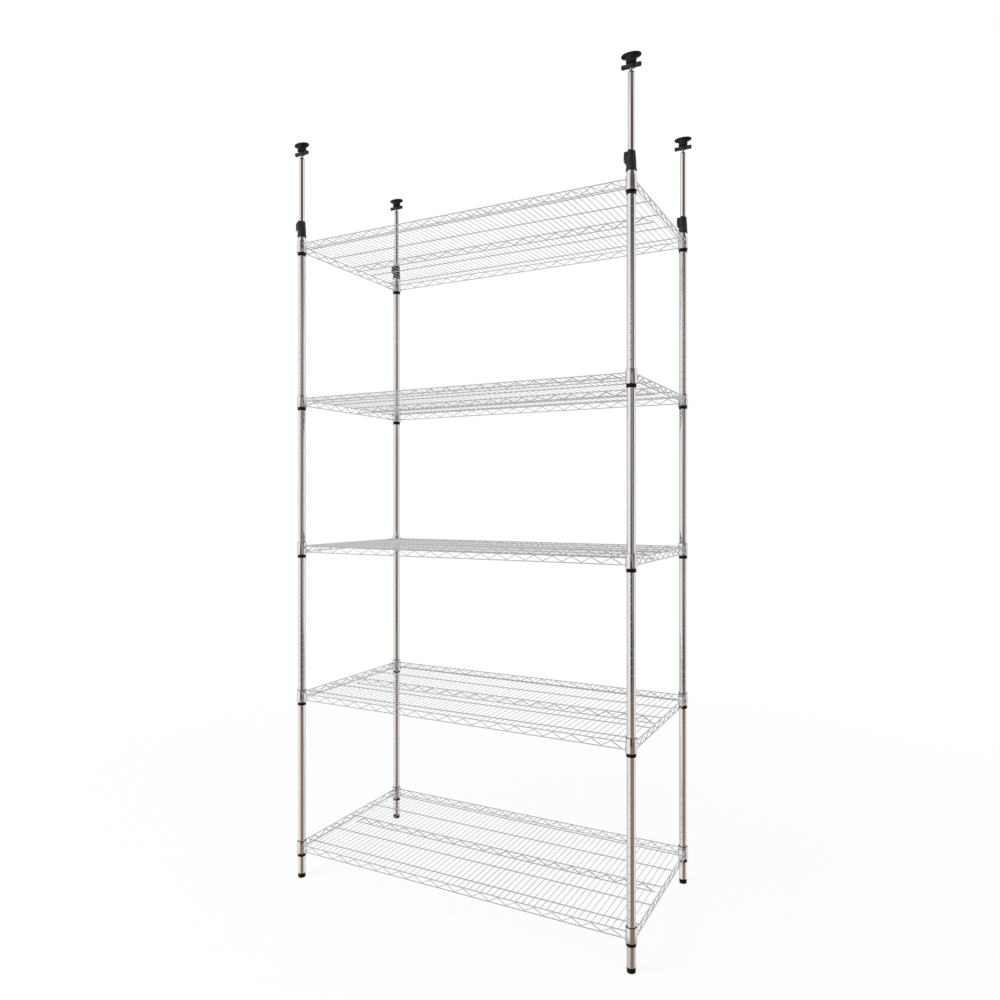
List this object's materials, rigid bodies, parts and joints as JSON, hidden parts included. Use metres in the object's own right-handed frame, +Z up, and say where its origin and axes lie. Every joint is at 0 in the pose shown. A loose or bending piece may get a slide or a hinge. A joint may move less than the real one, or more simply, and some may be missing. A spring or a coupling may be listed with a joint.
{
  "type": "wire shelving unit",
  "caption": "Floor-to-ceiling chrome wire shelving unit: welded wire shelves on grooved posts, levelling feet, lever-clamped sliding poles and screw jacks with ceiling pads.",
  "frame": {"origin": "on the floor, midway between the four posts", "axes": "+X to the right along the shelves, +Y to the back, +Z up"},
  "size_m": [1.249, 0.6048, 2.551],
  "materials": {
    "chrome": "bright chrome plate",
    "wire_chrome": "bright chrome plate",
    "dark_steel": "satin",
    "black_plastic": "moulded",
    "black_pad": "soft moulded"
  },
  "bodies": {
    "frame": {"post_front_left": "chrome", "post_front_right": "chrome", "post_back_left": "chrome", "post_back_right": "chrome", "clamp_front_left": "black_plastic", "clamp_front_right": "black_plastic", "clamp_back_left": "black_plastic", "clamp_back_right": "black_plastic", "shelf_1": "wire_chrome", "shelf_2": "wire_chrome", "shelf_3": "wire_chrome", "shelf_4": "wire_chrome", "shelf_5": "wire_chrome", "sleeve_1_front_left": "black_plastic", "sleeve_1_front_right": "black_plastic", "sleeve_1_back_left": "black_plastic", "sleeve_1_back_right": "black_plastic", "sleeve_2_front_left": "black_plastic", "sleeve_2_front_right": "black_plastic", "sleeve_2_back_left": "black_plastic", "sleeve_2_back_right": "black_plastic", "sleeve_3_front_left": "black_plastic", "sleeve_3_front_right": "black_plastic", "sleeve_3_back_left": "black_plastic", "sleeve_3_back_right": "black_plastic", "sleeve_4_front_left": "black_plastic", "sleeve_4_front_right": "black_plastic", "sleeve_4_back_left": "black_plastic", "sleeve_4_back_right": "black_plastic", "sleeve_5_front_left": "black_plastic", "sleeve_5_front_right": "black_plastic", "sleeve_5_back_left": "black_plastic", "sleeve_5_back_right": "black_plastic"},
    "foot_front_left": {"foot_front_left": "black_pad"},
    "lever_front_left": {"lever_front_left": "black_plastic"},
    "pad_front_left": {"pad_front_left": "black_pad"},
    "jack_front_left": {"jack_front_left": "black_plastic"},
    "pole_front_left": {"pole_front_left": "chrome", "nut_front_left": "dark_steel"},
    "foot_front_right": {"foot_front_right": "black_pad"},
    "lever_front_right": {"lever_front_right": "black_plastic"},
    "pad_front_right": {"pad_front_right": "black_pad"},
    "jack_front_right": {"jack_front_right": "black_plastic"},
    "pole_front_right": {"pole_front_right": "chrome", "nut_front_right": "dark_steel"},
    "foot_back_left": {"foot_back_left": "black_pad"},
    "lever_back_left": {"lever_back_left": "black_plastic"},
    "pad_back_left": {"pad_back_left": "black_pad"},
    "jack_back_left": {"jack_back_left": "black_plastic"},
    "pole_back_left": {"pole_back_left": "chrome", "nut_back_left": "dark_steel"},
    "foot_back_right": {"foot_back_right": "black_pad"},
    "lever_back_right": {"lever_back_right": "black_plastic"},
    "pad_back_right": {"pad_back_right": "black_pad"},
    "jack_back_right": {"jack_back_right": "black_plastic"},
    "pole_back_right": {"pole_back_right": "chrome", "nut_back_right": "dark_steel"}
  },
  "joints": [
    {"name": "foot_level_front_left", "type": "slide", "parent": "frame", "child": "foot_front_left", "axis": [0, 0, 1], "range_m": [-0.012, 0]},
    {"name": "lever_open_front_left", "type": "hinge", "parent": "frame", "child": "lever_front_left", "pos_m": [-0.6124, -0.285, 2.2545], "axis": [0, -1, 0], "range_deg": [0, 80]},
    {"name": "pole_slide_front_left", "type": "slide", "parent": "frame", "child": "pole_front_left", "axis": [0, 0, 1], "range_m": [-0.19, 0.2]},
    {"name": "pad_lift_front_left", "type": "slide", "parent": "pole_front_left", "child": "pad_front_left", "axis": [0, 0, 1], "range_m": [-0.008, 0.03]},
    {"name": "jack_turn_front_left", "type": "hinge", "parent": "pad_front_left", "child": "jack_front_left", "pos_m": [-0.595, -0.285, 2.51], "axis": [0, 0, 1], "range_deg": [-1440, 5400]},
    {"name": "foot_level_front_right", "type": "slide", "parent": "frame", "child": "foot_front_right", "axis": [0, 0, 1], "range_m": [-0.012, 0]},
    {"name": "lever_open_front_right", "type": "hinge", "parent": "frame", "child": "lever_front_right", "pos_m": [0.5776, -0.285, 2.2545], "axis": [0, -1, 0], "range_deg": [0, 80]},
    {"name": "pole_slide_front_right", "type": "slide", "parent": "frame", "child": "pole_front_right", "axis": [0, 0, 1], "range_m": [-0.19, 0.2]},
    {"name": "pad_lift_front_right", "type": "slide", "parent": "pole_front_right", "child": "pad_front_right", "axis": [0, 0, 1], "range_m": [-0.008, 0.03]},
    {"name": "jack_turn_front_right", "type": "hinge", "parent": "pad_front_right", "child": "jack_front_right", "pos_m": [0.595, -0.285, 2.51], "axis": [0, 0, 1], "range_deg": [-1440, 5400]},
    {"name": "foot_level_back_left", "type": "slide", "parent": "frame", "child": "foot_back_left", "axis": [0, 0, 1], "range_m": [-0.012, 0]},
    {"name": "lever_open_back_left", "type": "hinge", "parent": "frame", "child": "lever_back_left", "pos_m": [-0.6124, 0.285, 2.2545], "axis": [0, -1, 0], "range_deg": [0, 80]},
    {"name": "pole_slide_back_left", "type": "slide", "parent": "frame", "child": "pole_back_left", "axis": [0, 0, 1], "range_m": [-0.19, 0.2]},
    {"name": "pad_lift_back_left", "type": "slide", "parent": "pole_back_left", "child": "pad_back_left", "axis": [0, 0, 1], "range_m": [-0.008, 0.03]},
    {"name": "jack_turn_back_left", "type": "hinge", "parent": "pad_back_left", "child": "jack_back_left", "pos_m": [-0.595, 0.285, 2.51], "axis": [0, 0, 1], "range_deg": [-1440, 5400]},
    {"name": "foot_level_back_right", "type": "slide", "parent": "frame", "child": "foot_back_right", "axis": [0, 0, 1], "range_m": [-0.012, 0]},
    {"name": "lever_open_back_right", "type": "hinge", "parent": "frame", "child": "lever_back_right", "pos_m": [0.5776, 0.285, 2.2545], "axis": [0, -1, 0], "range_deg": [0, 80]},
    {"name": "pole_slide_back_right", "type": "slide", "parent": "frame", "child": "pole_back_right", "axis": [0, 0, 1], "range_m": [-0.19, 0.2]},
    {"name": "pad_lift_back_right", "type": "slide", "parent": "pole_back_right", "child": "pad_back_right", "axis": [0, 0, 1], "range_m": [-0.008, 0.03]},
    {"name": "jack_turn_back_right", "type": "hinge", "parent": "pad_back_right", "child": "jack_back_right", "pos_m": [0.595, 0.285, 2.51], "axis": [0, 0, 1], "range_deg": [-1440, 5400]}
  ],
  "couplings": [
    {"joint": "pad_lift_front_left", "follows": "jack_turn_front_left", "m_per_rad": 0.0003183},
    {"joint": "pad_lift_front_right", "follows": "jack_turn_front_right", "m_per_rad": 0.0003183},
    {"joint": "pad_lift_back_left", "follows": "jack_turn_back_left", "m_per_rad": 0.0003183},
    {"joint": "pad_lift_back_right", "follows": "jack_turn_back_right", "m_per_rad": 0.0003183}
  ]
}
